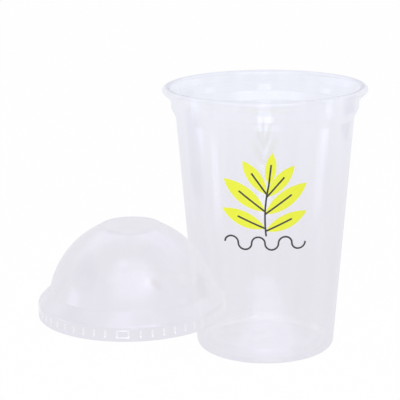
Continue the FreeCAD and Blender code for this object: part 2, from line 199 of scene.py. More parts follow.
class LidSizes(bpy.types.PropertyGroup):
    """Sizes of the lid's sheet."""

    height: length("Height", LID_HIGH.z / MM, "Table to the top of the lid")
    skirt_radius: length("Skirt radius", (LID_HIGH.x - LID_LOW.x) / 2 / MM, "Outside of the skirt")
    wall: length("Wall", 0.35, "Thickness of the sheet")
    skirt_corner: length("Skirt corner", 7.0, "Height at which the skirt meets the sloping shoulder")
    skirt_round: length("Skirt rounding", 2.65, "Inside rounding between skirt and shoulder")
    neck_inset: length("Neck inset", 6.0, "How far the neck lies inside the skirt")
    neck_round: length("Neck rounding", 0.6, "Outside rounding where the shoulder meets the dome")
    neck_height: length("Neck height", 1.4, "Short neck under the dome")
    neck_lean: length("Neck lean", 0.45, "How far the neck leans in")
    dome_round: length("Dome radius", 46.1, "Radius of the dome's outline")
    top_radius: length("Top radius", 15.5, "Outside of the round step on the dome")
    top_step: length("Top step", 0.55, "Height of that step")
    top_draft: length("Top draft", 0.35, "Lean of that step's side")
    top_crown: length("Top crown", 0.2, "Rise of the top towards its middle")
    flute_count: IntProperty(name="Flutes", description="Upright flutes round the skirt", default=52, min=8)
    flute_width: length("Flute width", 1.0, "Width of a flute's groove")
    flute_side: length("Flute side", 0.3, "Half the width of a groove's sloping side")
    flute_depth: length("Flute depth", 0.7, "Depth of a flute's groove")
    flute_low: length("Flute foot", 1.7, "Lower end of the flutes")
    flute_high: length("Flute head", 5.9, "Upper end of the flutes")
    mark_bar: length("Mark bar", 0.7, "Height of the bars that close the square mark")
    mark_depth: length("Mark depth", 0.25, "Depth of those bars")
    mark_bearing: angle("Mark bearing", -90.4, "Direction of the square mark, from +X")


class PrintSizes(bpy.types.PropertyGroup):
    """Sizes of the print, seen from the front."""

    back: length("Back", 0.02, "Clearance between wall and ink")
    thickness: length("Thickness", 0.03, "Thickness of the ink")
    line_width: length("Line width", 0.8, "Width of the printed lines")
    height: length("Height", 71.5, "Height at which the stem stands upright")
    stem_radius: length("Stem radius", 70.0, "Radius of the stem's bend")
    leaf_length: length("Leaf length", 23.5, "Length of the longest leaf")
    leaf_width: length("Leaf width", 7.6, "Width of the longest leaf")
    rib_length: length("Rib length", 15.0, "Length of the line along the longest leaf")
    wave_radius: length("Wave radius", 3.0, "Middle radius of each half ring in the wave")
    wave_drop: length("Wave drop", 12.0, "Upright point of the stem down to the wave")


class Finishes(bpy.types.PropertyGroup):
    """Colours and surface values."""

    high_tint: colour("High tint", 0.995, 0.9955, 0.997, "What one wall lets through high up")
    low_tint: colour("Low tint", 0.995, 0.9945, 0.996, "What one wall lets through low down")
    # The edge tint is also the colour of the painted shade at folds and on the rim's crest.
    edge_tint: colour("Edge tint", 0.55, 0.55, 0.62, "What one wall lets through where it is seen edge on")
    edge_dimming: share("Edge dimming", 0.06, "Share of the edge tint a wall takes on where it turns away")
    band_dimming: share("Band dimming", 0.03, "Share of the edge tint that the drawn bands take on")
    refraction: share("Refraction", 1.57, "Refractive index of the plastic")
    roughness: share("Roughness", 0.08, "Roughness of the plastic")
    frost: share("Frost", 0.4, "How much more the sheet mirrors where it is pressed into flutes")
    grazing: share("Grazing", 0.2, "Share that a face mirrors where it is seen edge on")
    # Painted shade: darkening at the tightest folds of the sheet.
    fold_painted_shade: share("Fold dimming", 0.04, "Share of the edge tint that the tightest folds take on")
    # Painted shade: a dark line on the rim's crest where it is seen edge on.
    lip_painted_shade: share("Lip dimming", 1.0, "Share of the edge tint on the rim's crest, seen edge on")
    flow: share("Flow", 0.35, "Strength of the drawing lines in the sheet")
    green: colour("Green ink", 0.90, 0.95, 0.02, "Yellow-green printing ink")
    dark: colour("Dark ink", 0.012, 0.012, 0.014, "Near-black printing ink")


class StudioSizes(bpy.types.PropertyGroup):
    """The camera, placed from the cup's axis, the levels of the light and the tones behind the pieces, with
    a painted shadow on the table near them.
    """

    camera_distance: length("Camera distance", 640.0, "Cup's axis to the camera, along the table")
    camera_height: length("Camera height", 231.03, "Table to the camera")
    lens: FloatProperty(name="Lens", description="Focal length", default=126.0, unit="CAMERA")
    pitch: angle("Pitch", 14.08, "How far the camera looks down")
    yaw: angle("Yaw", -2.74, "How far the camera looks to the right")
    roll: angle("Roll", -0.74, "How far the camera leans")
    fill: share("Fill", 0.75, "Level of the room's light on the pieces")
    lamps: share("Lamps", 1.6, "Level of the lamps")
    floor_share: share("Floor light", 0.03, "Share of the table's tone that comes from the lamps")
    card_tone: colour("Card tone", 0.85, 0.87, 1.0, "Tone of the cards that the pieces mirror")
    right_shade: share("Right shade", 0.55, "Level of the dark card on the right")
    left_shade: share("Left shade", 0.75, "Level of the dark card on the left")
    # The table's painted shadow, shown through the clear pieces, fades from the near edge to the far edge.
    near_edge: length("Near edge", 120.0, "Where the near tone ends, behind the pieces' middle")
    far_edge: length("Far edge", 700.0, "Where the far tone begins")
    # Painted shadow: the table in the pieces' shade, as the clear pieces show it.
    near_painted_shadow: colour("Near tone", 0.784, 0.763, 0.833, "Table as the clear pieces show it, near to them")
    far_tone: colour("Far tone", 0.858, 0.876, 0.966, "Table and room as the pieces show them, far off")


def axis_of(low, high):
    """The upright axis in the middle of a box, as its point on the table."""
    return Vector(((low.x + high.x) / 2, (low.y + high.y) / 2, 0.0))


def turned(vector, by):
    """A flat vector turned anticlockwise."""
    cosine, sine = math.cos(by), math.sin(by)
    return Vector((vector.x * cosine - vector.y * sine, vector.x * sine + vector.y * cosine))


def arc_points(start, end, centre, step):
    """Points from start to end the short way round centre."""
    out = start - centre
    back = end - centre
    sweep = math.atan2(out.x * back.y - out.y * back.x, out.dot(back))
    count = max(2, math.ceil(abs(sweep) / step))
    return [centre + turned(out, sweep * number / count) for number in range(count + 1)]


def corner_points(before, corner, after, radius, step):
    """Points of the rounding at a corner."""
    to_before = (before - corner).normalized()
    to_after = (after - corner).normalized()
    half = to_before.angle(to_after) / 2
    start = corner + to_before * (radius / math.tan(half))
    end = corner + to_after * (radius / math.tan(half))
    centre = corner + (to_before + to_after).normalized() * (radius / math.sin(half))
    return arc_points(start, end, centre, step)


def bend_points(start, end, radius, side, step):
    """Points of an edge that is an arc. side is 1 where its centre lies to the left, else -1."""
    half = (end - start).length / 2
    along = (end - start).normalized()
    centre = (start + end) / 2 + Vector((-along.y, along.x)) * (side * math.sqrt(radius**2 - half**2))
    return arc_points(start, end, centre, step)


def with_guards(points, guard, longest):
    """Adds a point near each end of every long straight edge, which keeps the shading flat there."""
    result = [points[0]]
    for start, end in zip(points, points[1:]):
        edge = end - start
        if edge.length > longest:
            near = edge.normalized() * guard
            result += [start + near, end - near]
        result.append(end)
    return result


def with_rows(points, low, high, step):
    """Adds evenly spaced points between two heights on every upright edge."""
    count = round((high - low) / step)
    rows = [low + (high - low) * number / count for number in range(count + 1)]
    result = [points[0]]
    for start, end in zip(points, points[1:]):
        if abs(end.x - start.x) < CLOSE:
            bottom, top = sorted((start.y, end.y))
            between = [row for row in rows if bottom + ROW_GAP < row < top - ROW_GAP]
            if end.y < start.y:
                between.reverse()
            result += [Vector((start.x, row)) for row in between]
        result.append(end)
    return result


def outline_points(corners, bends, step, bend_step):
    """Points along an open outline through corners (x, y, rounding), where None is a sharp corner.

    bends gives, by the number of the corner that it starts from, an arc's radius and side.
    """
    spots = [Vector((x, y)) for x, y, rounding in corners]
    points = []
    for number, (x, y, rounding) in enumerate(corners):
        if rounding is None:
            points.append(spots[number])
        else:
            points += corner_points(spots[number - 1], spots[number], spots[number + 1], rounding, step)
        if number in bends:
            radius, side = bends[number]
            points += bend_points(spots[number], spots[number + 1], radius, side, bend_step)[1:-1]
    return points


def fold_shares(points):
    """How tightly the section folds at each of its points, from 0 to 1 for a full fold, which places the
    painted shade at folds.
    """
    shares = [0.0]
    for before, here, after in zip(points, points[1:], points[2:]):
        turn = (here - before).angle(after - here)
        span = min((here - before).length, FOLD_REACH) + min((after - here).length, FOLD_REACH)
        shares.append(min(turn / span * 2.0 * TIGHT_FOLD, 1.0))
    return shares + [0.0]


def crest_shade_shares(points, depth):
    """Where shade is painted on the rim's crest: 1 at the section's highest point, falling to 0 at this
    depth on its inner side.
    """
    crest = max(points, key=lambda point: point.y)
    shares = []
    for point in points:
        inside = point.x <= crest.x
        shares.append(max(1.0 - (crest.y - point.y) / depth, 0.0) if inside else 0.0)
    return shares


def cup_wall_top(s):
    """Radius and height of the top of the cup's straight wall, outside."""
    radius = s.rim_radius - s.rim_overhang - s.shoulder_step
    height = s.height - s.rim_depth - s.collar_height - s.shoulder_height
    return radius, height


def cup_corners(s):
    """Corners of the cup's sheet, from the middle of the base out, up, round the rim and back."""
    wall = s.wall
    rise = s.base_rise
    toe = s.foot_radius - s.heel_radius - s.foot_flat - s.toe_round - wall
    base = toe - s.foot_draft
    wall_radius, wall_height = cup_wall_top(s)
    collar = s.rim_radius - s.rim_overhang
    collar_top = s.height - s.rim_depth
    collar_low = collar_top - s.collar_height
    rim = s.rim_radius
    lip = s.height - s.curl_drop
    lip_end = lip - s.curl_tail
    curl_out = s.curl_round + wall
    curl_in = rim - curl_out * 2 - s.curl_flat
    underside = [
        (0.0, rise, None),
        (base, rise, s.base_round),
        (toe, 0.0, s.toe_round + wall),
        (s.foot_radius, 0.0, s.heel_radius),
        (wall_radius, wall_height, s.shoulder_round + wall),
        (collar, collar_low, s.shoulder_round + wall),
        (collar, collar_top, None),
    ]
    under_rim = [
        (curl_in + wall, s.height - wall, s.curl_round),
        (rim - wall, s.height - wall, s.curl_round),
        (rim - wall, lip + wall * MITRE, s.curl_corner),
        (rim - s.curl_tail - wall * HALF_ROOT, lip_end + wall * HALF_ROOT, None),
    ]
    over_rim = [
        (rim - s.curl_tail, lip_end, None),
        (rim, lip, s.curl_corner + wall),
        (rim, s.height, curl_out),
        (curl_in, s.height, curl_out),
    ]
    inside = [
        (collar - wall, collar_top, None),
        (collar - wall, collar_low, s.shoulder_round),
        (wall_radius - wall, wall_height, s.shoulder_round),
        (s.foot_radius - wall, wall, s.heel_radius - wall),
        (toe + wall, wall, s.toe_round),
        (base + wall, rise + wall, s.base_round + wall),
        (0.0, rise + wall, None),
    ]
    return underside + under_rim + over_rim + inside


def lid_corners(s):
    """Corners of the lid's sheet, from the middle of the top out and down, and back inside."""
    wall = s.wall
    skirt = s.skirt_radius
    neck = skirt - s.neck_inset
    neck_low = s.skirt_corner + s.neck_inset
    dome = neck - s.neck_lean
    dome_low = neck_low + s.neck_height
    top = s.top_radius
    flat = s.height - s.top_crown
    step = flat - s.top_step
    outside = [
        (0.0, s.height, None),
        (top - s.top_draft, flat, None),
        (top, step, None),
        (dome, dome_low, None),
        (neck, neck_low, s.neck_round),
        (skirt, s.skirt_corner, s.skirt_round + wall),
        (skirt, 0.0, None),
    ]
    inside = [
        (skirt - wall, 0.0, None),
        (skirt - wall, s.skirt_corner - wall * MITRE, s.skirt_round),
        (neck - wall, neck_low - wall * MITRE, s.neck_round + wall),
        (dome - wall, dome_low, None),
        (top - wall * 0.5, step - wall, None),
        (top - s.top_draft - wall * 0.5, flat - wall, None),
        (0.0, s.height - wall, None),
    ]
    return outside + inside


def add_node(tree, kind, inputs=None, **values):
    """Adds a node, sets its own values, and links or fills its inputs."""
    node = tree.nodes.new(kind)
    for name, value in values.items():
        setattr(node, name, value)
    for name, value in (inputs or {}).items():
        if isinstance(value, bpy.types.NodeSocket):
            tree.links.new(value, node.inputs[name])
        else:
            node.inputs[name].default_value = value
    return node


def math_node(tree, operation, *values):
    """A Math node's result."""
    return add_node(tree, "ShaderNodeMath", dict(enumerate(values)), operation=operation).outputs[0]


def plus(tree, first, second):
    """The sum of two values."""
    return math_node(tree, "ADD", first, second)


def minus(tree, first, second):
    """The first value less the second."""
    return math_node(tree, "SUBTRACT", first, second)


def times(tree, first, second):
    """The product of two values."""
    return math_node(tree, "MULTIPLY", first, second)


def parts_of(tree, vector):
    """A vector's X, Y and Z."""
    return add_node(tree, "ShaderNodeSeparateXYZ", {"Vector": vector}).outputs


def ramp_node(tree, value, from_low, from_high, to_low, to_high, kind="LINEAR"):
    """A clamped Map Range node's result."""
    inputs = {"Value": value, "From Min": from_low, "From Max": from_high}
    inputs.update({"To Min": to_low, "To Max": to_high})
    return add_node(tree, "ShaderNodeMapRange", inputs, interpolation_type=kind).outputs["Result"]


def new_tree(kind, name, inputs, outputs):
    """A node group with its named inputs (name, socket kind) and outputs, and its two end nodes."""
    tree = bpy.data.node_groups.new(name, kind)
    for socket, socket_kind in inputs:
        tree.interface.new_socket(name=socket, in_out="INPUT", socket_type=socket_kind)
    for socket, socket_kind in outputs:
        tree.interface.new_socket(name=socket, in_out="OUTPUT", socket_type=socket_kind)
    return tree, tree.nodes.new("NodeGroupInput"), tree.nodes.new("NodeGroupOutput")


def sampled(tree, section, row, value, kind):
    """A value of the section at the point with the row's number."""
    inputs = {"Geometry": section, "Value": value, "Index": row}
    node = add_node(tree, "GeometryNodeSampleIndex", inputs, data_type=kind, domain="POINT")
    return node.outputs["Value"]


def turned_sheet_tree():
    """Geometry Nodes tree that turns a section about an upright axis and presses flutes into it.

    The section is a chain of points with its radius in X and its height in Z. Columns stand close
    together across each flute and wider between two flutes.
    """
    inputs = [("Section", "NodeSocketGeometry")]
    inputs += [("Place", "NodeSocketVector"), ("Material", "NodeSocketMaterial")]
    inputs += [(name, "NodeSocketInt") for name in ("Flutes", "Steps", "Steps across")]
    angles = ("Reach", "Bearing")
    lengths = ("Skirt radius", "Wall", "Width", "Side", "Depth", "Low", "High", "Bar", "Bar depth")
    inputs += [(name, "NodeSocketFloat") for name in angles + lengths]
    outputs = [("Sheet", "NodeSocketGeometry")]
    tree, given, result = new_tree("GeometryNodeTree", "turned_sheet", inputs, outputs)
    g = given.outputs
    size = add_node(tree, "GeometryNodeAttributeDomainSize", {"Geometry": g["Section"]})
    count = size.outputs["Point Count"]
    columns = times(tree, g["Flutes"], g["Steps"])
    sides = {"Size X": 1.0, "Size Y": 1.0}
    sides.update({"Vertices X": count, "Vertices Y": plus(tree, columns, 1.0)})
    grid = add_node(tree, "GeometryNodeMeshGrid", sides)
    here = add_node(tree, "GeometryNodeInputPosition").outputs["Position"]
    flat = parts_of(tree, here)
    last = minus(tree, count, 1.0)
    row = math_node(tree, "ROUND", times(tree, plus(tree, flat["X"], 0.5), last))
    column = math_node(tree, "ROUND", times(tree, plus(tree, flat["Y"], 0.5), columns))
    section = parts_of(tree, sampled(tree, g["Section"], row, here, "FLOAT_VECTOR"))
    radius, height = section["X"], section["Z"]
    marks = []
    # The fold and lip marks tell the clear material where to paint shade.
    for name in ("fold", "lip"):
        mark = add_node(tree, "GeometryNodeInputNamedAttribute", {"Name": name}, data_type="FLOAT")
        marks.append((name, sampled(tree, g["Section"], row, mark.outputs["Attribute"], "FLOAT")))

    pitch = math_node(tree, "DIVIDE", math.tau, g["Flutes"])
    flute = math_node(tree, "FLOOR", math_node(tree, "DIVIDE", column, g["Steps"]))
    step = minus(tree, column, times(tree, flute, g["Steps"]))
    back = times(tree, g["Reach"], -1.0)
    rest = minus(tree, pitch, times(tree, g["Reach"], 2.0))
    across = ramp_node(tree, step, 0.0, g["Steps across"], back, g["Reach"])
    between = ramp_node(tree, step, g["Steps across"], g["Steps"], 0.0, rest)
    start = times(tree, flute, pitch)
    turn = plus(tree, start, plus(tree, across, between))

    middle = minus(tree, g["Skirt radius"], times(tree, g["Wall"], 0.5))
    inner = math_node(tree, "LESS_THAN", radius, middle)
    extra = times(tree, inner, g["Wall"])
    climb = times(tree, extra, MITRE)

    def press(low, high, depth):
        """How deep the sheet is pressed at this height, with 45 degree ends."""
        over = minus(tree, height, minus(tree, low, climb))
        under = minus(tree, plus(tree, high, climb), height)
        inside = math_node(tree, "MAXIMUM", math_node(tree, "MINIMUM", over, under), 0.0)
        return math_node(tree, "MINIMUM", inside, depth)

    half = plus(tree, times(tree, g["Width"], 0.5), times(tree, extra, INSIDE_SPREAD))
    aside = times(tree, math_node(tree, "ABSOLUTE", across), g["Skirt radius"])
    near = minus(tree, half, g["Side"])
    far = plus(tree, half, g["Side"])
    groove = ramp_node(tree, aside, near, far, 1.0, 0.0, "SMOOTHSTEP")
    fluting = times(tree, groove, press(g["Low"], g["High"], g["Depth"]))
    low_bar = press(g["Low"], plus(tree, g["Low"], g["Bar"]), g["Bar depth"])
    high_bar = press(minus(tree, g["High"], g["Bar"]), g["High"], g["Bar depth"])
    half_pitch = times(tree, pitch, 0.5)
    from_mark = math_node(tree, "ABSOLUTE", minus(tree, turn, half_pitch))
    marked = math_node(tree, "LESS_THAN", from_mark, half_pitch)
    bars = times(tree, plus(tree, low_bar, high_bar), marked)
    reached = minus(tree, radius, math_node(tree, "MAXIMUM", fluting, bars))

    facing = plus(tree, turn, g["Bearing"])
    x = times(tree, reached, math_node(tree, "COSINE", facing))
    y = times(tree, reached, math_node(tree, "SINE", facing))
    point = add_node(tree, "ShaderNodeCombineXYZ", {"X": x, "Y": y, "Z": height}).outputs[0]
    place = add_node(tree, "ShaderNodeVectorMath", {0: point, 1: g["Place"]}, operation="ADD").outputs[0]
    flute_share = math_node(tree, "DIVIDE", fluting, g["Depth"])
    pressed = math_node(tree, "MAXIMUM", flute_share, math_node(tree, "DIVIDE", bars, g["Bar depth"]))
    pressed = times(tree, pressed, minus(tree, 1.0, inner))
    noted = grid
    for name, value in (*marks, ("pressed", pressed)):
        noted = add_node(
            tree,
            "GeometryNodeStoreNamedAttribute",
            {"Geometry": noted.outputs[0], "Name": name, "Value": value},
            data_type="FLOAT",
            domain="POINT",
        )
    moved = add_node(tree, "GeometryNodeSetPosition", {"Geometry": noted.outputs[0], "Position": place})
    near_enough = {"Geometry": moved.outputs[0], "Distance": CLOSE * 2.0}
    merged = add_node(tree, "GeometryNodeMergeByDistance", near_enough)
    smooth_all = {"Geometry": merged.outputs[0], "Shade Smooth": True}
    smooth = add_node(tree, "GeometryNodeSetShadeSmooth", smooth_all)
    bend = add_node(tree, "GeometryNodeInputMeshEdgeAngle").outputs["Unsigned Angle"]
    sharp = math_node(tree, "GREATER_THAN", bend, SHARP)
    crease = {"Geometry": smooth.outputs[0], "Selection": sharp, "Shade Smooth": False}
    creased = add_node(tree, "GeometryNodeSetShadeSmooth", crease, domain="EDGE")
    real = add_node(tree, "GeometryNodeRealizeInstances", {"Geometry": creased.outputs[0]})
    finish = {"Geometry": real.outputs[0], "Material": g["Material"]}
    coated = add_node(tree, "GeometryNodeSetMaterial", finish)
    tree.links.new(coated.outputs[0], result.inputs["Sheet"])
    return tree


def linked(name, data):
    """A new object in the scene."""
    holder = bpy.data.objects.new(name, data)
    bpy.context.scene.collection.objects.link(holder)
    return holder


def turned_sheet(name, points, values, crest_shade_marks):
    """A closed thin sheet, turned from its section by the Geometry Nodes tree; the last argument marks
    where shade is painted on its rim's crest.
    """
    section = bpy.data.meshes.new(f"{name}_section")
    section.from_pydata([(p.x, 0.0, p.y) for p in points], [(n, n + 1) for n in range(len(points) - 1)], [])
    for mark, shares in (("fold", fold_shares(points)), ("lip", crest_shade_marks)):
        section.attributes.new(mark, "FLOAT", "POINT").data.foreach_set("value", shares)
    piece = linked(name, section)
    tree = bpy.data.node_groups.get("turned_sheet") or turned_sheet_tree()
    modifier = piece.modifiers.new("turned_sheet", "NODES")
    modifier.node_group = tree
    for socket in tree.interface.items_tree:
        if socket.in_out == "INPUT" and socket.name in values:
            modifier[socket.identifier] = values[socket.name]
    graph = bpy.context.evaluated_depsgraph_get()
    mesh = bpy.data.meshes.new_from_object(piece.evaluated_get(graph))
    piece.modifiers.remove(modifier)
    piece.data = mesh
    mesh.name = name
    bpy.data.meshes.remove(section)
    face_outwards(mesh)
    return piece


def face_outwards(mesh):
    """Turns the faces of a closed mesh so that they point away from what it is made of."""
    shape = bmesh.new()
    shape.from_mesh(mesh)
    bmesh.ops.remove_doubles(shape, verts=shape.verts, dist=CLOSE)
    bmesh.ops.recalc_face_normals(shape, faces=shape.faces)
    if shape.calc_volume(signed=True) < 0.0:
        bmesh.ops.reverse_faces(shape, faces=shape.faces)
    open_edges = [edge for edge in shape.edges if not edge.is_manifold]
    if open_edges:
        raise RuntimeError(f"{mesh.name} has {len(open_edges)} open edges")
    shape.to_mesh(mesh)
    shape.free()


def stand(piece, node):
    """Lets a piece stand for a node of the frame."""
    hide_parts(node)
    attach(piece, "root")


def sheet_flow_group():
    """Shader group for a drawn plastic sheet: upright drawing lines, soft clouds and a height mask."""
    value = "NodeSocketFloat"
    tree, given, result = new_tree(
        "ShaderNodeTree",
        "sheet_flow",
        (("Fine", value), ("Coarse", value), ("Stretch", value), ("Foot", value), ("Head", value)),
        (("Lines", value), ("Bands", value), ("Clouds", value), ("Height", value)),
    )
    g = given.outputs
    place = add_node(tree, "ShaderNodeTexCoord").outputs["Object"]
    parts = parts_of(tree, place)
    low = math_node(tree, "DIVIDE", parts["Z"], g["Stretch"])
    squeezed_parts = {"X": parts["X"], "Y": parts["Y"], "Z": low}
    squeezed = add_node(tree, "ShaderNodeCombineXYZ", squeezed_parts).outputs[0]
    lines = add_node(tree, "ShaderNodeTexNoise", {"Vector": squeezed, "Scale": g["Fine"], "Detail": 3.0})
    wider = times(tree, g["Fine"], 0.3)
    bands = add_node(tree, "ShaderNodeTexNoise", {"Vector": squeezed, "Scale": wider})
    clouds = add_node(tree, "ShaderNodeTexNoise", {"Vector": place, "Scale": g["Coarse"], "Detail": 2.0})
    height = ramp_node(tree, parts["Z"], g["Foot"], g["Head"], 0.0, 1.0, "SMOOTHSTEP")
    for name, noise in (("Lines", lines), ("Bands", bands), ("Clouds", clouds)):
        tree.links.new(noise.outputs["Fac"], result.inputs[name])
    tree.links.new(height, result.inputs["Height"])
    return tree


def new_material(name):
    """An empty material with its output."""
    material = bpy.data.materials.new(name)
    material.use_nodes = True
    tree = material.node_tree
    tree.nodes.clear()
    return material, tree, tree.nodes.new("ShaderNodeOutputMaterial")


def flow_node(tree, fine, coarse, stretch, foot, head):
    """The shared sheet effect, placed in a material with its own values."""
    node = tree.nodes.new("ShaderNodeGroup")
    node.node_tree = bpy.data.node_groups.get("sheet_flow") or sheet_flow_group()
    values = {"Fine": fine, "Coarse": coarse, "Stretch": stretch, "Foot": foot, "Head": head}
    for name, value in values.items():
        node.inputs[name].default_value = value
    return node.outputs


def mixed(tree, factor, first, second):
    """A colour between two colours."""
    node = add_node(tree, "ShaderNodeMix", data_type="RGBA")
    for socket, value in ((node.inputs[0], factor), (node.inputs[6], first), (node.inputs[7], second)):
        if isinstance(value, bpy.types.NodeSocket):
            tree.links.new(value, socket)
        else:
            socket.default_value = value
    return node.outputs[2]


def face_share(plain):
    """What one of a wall's two faces lets through, as four numbers."""
    return (*(math.sqrt(channel) for channel in plain), 1.0)


def with_alpha(plain):
    """A colour property as four numbers."""
    return (*plain, 1.0)


def bumped(tree, strength, depth, height):
    """A normal that follows a height."""
    inputs = {"Strength": strength, "Distance": depth, "Height": height}
    return add_node(tree, "ShaderNodeBump", inputs).outputs[0]


def end_in_mix(tree, output, factor, first, second):
    """Ends a material, or the world, in a mix of two shaders."""
    inputs = {0: factor, 1: first.outputs[0], 2: second.outputs[0]}
    mix = add_node(tree, "ShaderNodeMixShader", inputs)
    tree.links.new(mix.outputs[0], output.inputs["Surface"])


def facing_front(tree):
    """1 on a face's front and 0 on its back."""
    return minus(tree, 1.0, add_node(tree, "ShaderNodeNewGeometry").outputs["Backfacing"])


def clear_material(name, s, head, fine):
    """Clear drawn sheet, too thin to bend what is seen through it: each face tints, dims and mirrors, with
    painted shade at tight folds and on the rim's crest.
    """
    material, tree, output = new_material(name)
    flow = flow_node(tree, fine, CLOUDS, DRAWN_OUT, 0.0, head)
    drift = times(tree, minus(tree, flow["Clouds"], 0.5), TINT_DRIFT)
    level = plus(tree, flow["Height"], drift)
    bump = bumped(tree, s.flow, LINE_DEPTH, flow["Lines"])
    slant = add_node(tree, "ShaderNodeLayerWeight", {"Blend": 0.5, "Normal": bump}).outputs["Facing"]
    face_on = ((s.refraction - 1.0) / (s.refraction + 1.0)) ** 2
    curve = math_node(tree, "POWER", slant, MIRROR_POWER)
    mirrored = math_node(tree, "MULTIPLY_ADD", curve, s.grazing - face_on, face_on)
    pressed = add_node(tree, "ShaderNodeAttribute", attribute_name="pressed").outputs["Fac"]
    frosted = times(tree, times(tree, pressed, s.frost), facing_front(tree))
    mirrored = plus(tree, mirrored, frosted)
    tint = mixed(tree, level, face_share(s.low_tint), face_share(s.high_tint))
    edge = times(tree, math_node(tree, "POWER", slant, EDGE_POWER), s.edge_dimming)
    band = ramp_node(tree, flow["Bands"], *BAND_RANGE, 0.0, s.band_dimming, "SMOOTHSTEP")
    # The fold mark places a painted shade at the tightest folds.
    fold = add_node(tree, "ShaderNodeAttribute", attribute_name="fold").outputs["Fac"]
    # The lip mark places a painted shade: a dark line on the rim's crest, seen edge on.
    lip = add_node(tree, "ShaderNodeAttribute", attribute_name="lip").outputs["Fac"]
    lip = times(tree, lip, math_node(tree, "POWER", slant, LIP_SHADE_POWER))
    # Edge dimming plus the painted shade at folds and on the rim's crest.
    edge_and_painted_shade = plus(tree, times(tree, fold, s.fold_painted_shade), edge)
    edge_and_painted_shade = math_node(tree, "MULTIPLY_ADD", lip, s.lip_painted_shade, edge_and_painted_shade)
    dimmed = mixed(tree, plus(tree, edge_and_painted_shade, band), tint, face_share(s.edge_tint))
    passing = add_node(tree, "ShaderNodeBsdfTransparent", {"Color": dimmed})
    rough = ramp_node(tree, flow["Clouds"], *NOISE_RANGE, s.roughness * 0.8, s.roughness * 1.3)
    inputs = {"Color": WHITE, "Roughness": rough, "Normal": bump}
    gloss = add_node(tree, "ShaderNodeBsdfAnisotropic", inputs)
    end_in_mix(tree, output, mirrored, passing, gloss)
    return material


def ink_material(name, ink, roughness):
    """Printing ink with a slightly uneven film."""
    material, tree, output = new_material(name)
    flow = flow_node(tree, INK_GRAIN, INK_GRAIN * 0.4, 1.0, 0.0, 1.0)
    paler = [channel + (1.0 - channel) * INK_PALER for channel in ink]
    tone = mixed(tree, flow["Clouds"], with_alpha(ink), with_alpha(paler))
    rough = ramp_node(tree, flow["Lines"], *NOISE_RANGE, roughness * 0.85, roughness * 1.2)
    bump = bumped(tree, INK_BUMP, INK_DEPTH, flow["Lines"])
    inputs = {"Base Color": tone, "Roughness": rough, "IOR": 1.5, "Normal": bump}
    film = add_node(tree, "ShaderNodeBsdfPrincipled", inputs)
    tree.links.new(film.outputs[0], output.inputs["Surface"])
    return material


class CLEARCUP_OT_cup(bpy.types.Operator):
    """Make the cup, turned from its section"""

    bl_idname = "clear_cup.cup"
    bl_label = "Cup"

    def execute(self, context):
        cup = context.scene.clear_cup
        finish = context.scene.clear_finish
        points = outline_points(cup_corners(cup), {}, CUP_TURN, CUP_TURN)
        points = with_guards(points, GUARD, CUP_LONG_EDGE)
        values = {
            "Flutes": CUP_GROUPS,
            "Steps": CUP_STEPS,
            "Steps across": CUP_STEPS // 2,
            "Reach": math.tau / CUP_GROUPS / 4,
            "Place": axis_of(CUP_LOW, CUP_HIGH),
            "Skirt radius": cup.rim_radius,
            "Wall": cup.wall,
            "Side": cup.wall,
            "Material": clear_material("cup_plastic", finish, cup.height * CUP_TINT_HEIGHT, CUP_LINES),
        }
        # The cup's rim gets a painted shade on its crest.
        piece = turned_sheet("cup_sheet", points, values, crest_shade_shares(points, cup.curl_round))
        stand(piece, "cup")
        return {"FINISHED"}


class CLEARCUP_OT_lid(bpy.types.Operator):
    """Make the dome lid, turned from its section, with flutes and a square mark on its skirt"""

    bl_idname = "clear_cup.lid"
    bl_label = "Dome lid"

    def execute(self, context):
        lid = context.scene.clear_lid
        finish = context.scene.clear_finish
        bends = {2: (lid.dome_round, -1), 10: (lid.dome_round - lid.wall, 1)}
        points = outline_points(lid_corners(lid), bends, LID_TURN, DOME_TURN)
        points = with_guards(points, GUARD, LID_LONG_EDGE)
        points = with_rows(points, lid.flute_low - lid.wall, lid.flute_high + lid.wall, SKIRT_ROW)
        pitch = math.tau / lid.flute_count
        inner_half = lid.flute_width / 2 + lid.wall * INSIDE_SPREAD
        values = {
            "Flutes": lid.flute_count,
            "Steps": LID_STEPS,
            "Steps across": LID_STEPS_ACROSS,
            "Reach": (inner_half + lid.flute_side * SIDE_REACH) / lid.skirt_radius,
            "Bearing": lid.mark_bearing - pitch / 2,
            "Place": axis_of(LID_LOW, LID_HIGH),
            "Skirt radius": lid.skirt_radius,
            "Wall": lid.wall,
            "Width": lid.flute_width,
            "Side": lid.flute_side,
            "Depth": lid.flute_depth,
            "Low": lid.flute_low,
            "High": lid.flute_high,
            "Bar": lid.mark_bar,
            "Bar depth": lid.mark_depth,
            "Material": clear_material("lid_plastic", finish, lid.height, LID_LINES),
        }
        piece = turned_sheet("lid_sheet", points, values, [0.0] * len(points))
        stand(piece, "dome_lid")
        return {"FINISHED"}


def on_wall(x, z, lift, cup):
    """The point of the cup's straight wall that is seen at x from its axis and z up, lifted by lift."""
    wall_radius, wall_height = cup_wall_top(cup)
    radius = cup.foot_radius + (wall_radius - cup.foot_radius) * z / wall_height + lift
    return axis_of(CUP_LOW, CUP_HIGH) + Vector((x, -math.sqrt(radius**2 - x**2), z))


